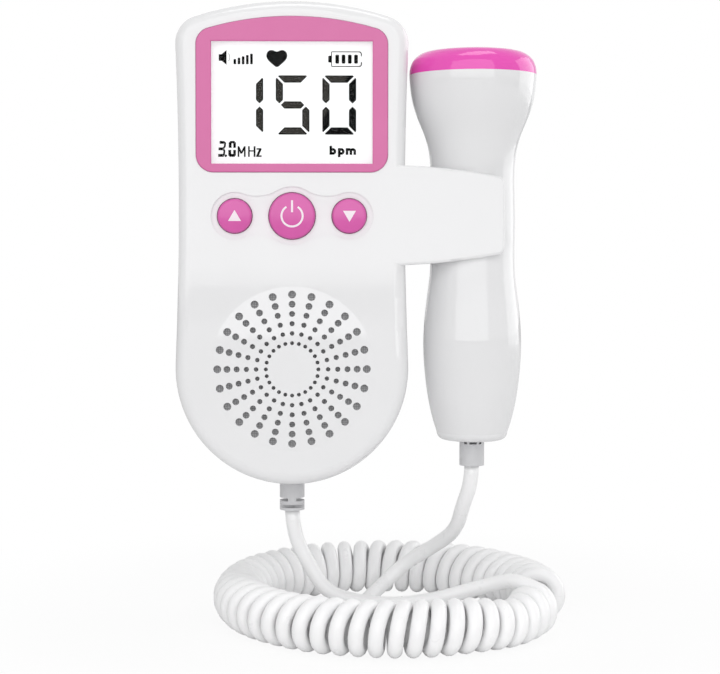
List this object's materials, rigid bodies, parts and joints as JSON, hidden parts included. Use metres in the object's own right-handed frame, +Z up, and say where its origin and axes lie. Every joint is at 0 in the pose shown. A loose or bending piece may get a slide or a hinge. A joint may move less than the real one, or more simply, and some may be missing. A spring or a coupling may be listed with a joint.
{
  "type": "fetal doppler monitor",
  "caption": "Hand-held fetal heartbeat monitor with a screen, push buttons, a speaker grille, a waisted probe in a side clip and a curly cord laid in a ring.",
  "frame": {"origin": "on the flat back face of the monitor's case, in the middle of its width and height", "axes": "+Z up, towards the screen's end of the case; +Y out of the back face, so the screen looks along -Y; +X towards the probe clip"},
  "size_m": [0.1118, 0.1022, 0.1768],
  "materials": {
    "white_case": "moulded glossy white ABS",
    "white_probe": "moulded glossy white ABS",
    "pink_bezel": "moulded satin pink ABS",
    "pink_button": "moulded glossy pink ABS",
    "pink_face": "polished bright pink ABS",
    "clear_lens": "clear polished acrylic",
    "display_glass": "lit white liquid crystal display",
    "light_guide": "milky light guide",
    "rubber_contact": "layered silicone contact strip",
    "circuit_board": "green solder resist",
    "chip_resin": "black epoxy resin",
    "aluminium_can": "drawn aluminium can",
    "screw_steel": "zinc-plated steel",
    "switch_body": "black moulded nylon",
    "speaker_steel": "pressed steel, painted",
    "speaker_paper": "pressed paper cone",
    "ferrite": "sintered ferrite",
    "foam_gasket": "closed-cell foam",
    "dust_cloth": "woven grey dust cloth",
    "cell_wrap": "printed cell sleeve",
    "contact_nickel": "nickel-plated spring steel",
    "jack_plastic": "black moulded socket",
    "gland_rubber": "soft grey PVC",
    "ceramic": "silvered piezo ceramic",
    "cord_jacket": "white polyurethane cord jacket"
  },
  "bodies": {
    "monitor": {"front_shell": "white_case", "rear_shell": "white_case", "screen_bezel": "pink_bezel", "screen_lens": "clear_lens", "lcd_glass": "display_glass", "lcd_backlight": "light_guide", "lcd_connector": "rubber_contact", "main_board": "circuit_board", "board_chips": "chip_resin", "board_capacitors": "aluminium_can", "board_screws": "screw_steel", "case_screws": "screw_steel", "tact_switches": "switch_body", "speaker_frame": "speaker_steel", "speaker_cone": "speaker_paper", "speaker_magnet": "ferrite", "speaker_gasket": "foam_gasket", "speaker_cloth": "dust_cloth", "battery_cells": "cell_wrap", "battery_springs": "contact_nickel", "battery_plates": "contact_nickel", "earphone_jack": "jack_plastic", "monitor_strain_relief": "gland_rubber", "monitor_lead": "cord_jacket", "probe_lead": "cord_jacket", "cord_coil": "cord_jacket"},
    "up_button": {"up_button": "pink_button", "up_switch_stem": "switch_body"},
    "power_button": {"power_button": "pink_button", "power_switch_stem": "switch_body"},
    "down_button": {"down_button": "pink_button", "down_switch_stem": "switch_body"},
    "battery_cover": {"battery_cover": "white_case"},
    "probe": {"probe_front_shell": "white_probe", "probe_rear_shell": "white_probe", "probe_face_cap": "pink_face", "piezo_crystals": "ceramic", "crystal_holder": "switch_body", "probe_board": "circuit_board", "probe_screws": "screw_steel", "probe_strain_relief": "gland_rubber"}
  },
  "joints": [
    {"name": "up_press", "type": "slide", "parent": "monitor", "child": "up_button", "axis": [0, 1, 0], "range_m": [0, 0.0006], "stiffness_N_per_m": 800, "springref_m": -0.0002},
    {"name": "power_press", "type": "slide", "parent": "monitor", "child": "power_button", "axis": [0, 1, 0], "range_m": [0, 0.0006], "stiffness_N_per_m": 800, "springref_m": -0.0002},
    {"name": "down_press", "type": "slide", "parent": "monitor", "child": "down_button", "axis": [0, 1, 0], "range_m": [0, 0.0006], "stiffness_N_per_m": 800, "springref_m": -0.0002},
    {"name": "cover_open", "type": "hinge", "parent": "monitor", "child": "battery_cover", "pos_m": [0, 0, -0.0625], "axis": [-1, 0, 0], "range_deg": [0, 60]},
    {"name": "probe_release", "type": "slide", "parent": "monitor", "child": "probe", "axis": [1, 0, 0], "range_m": [0, 0.03], "deforming": ["probe_lead"]}
  ]
}
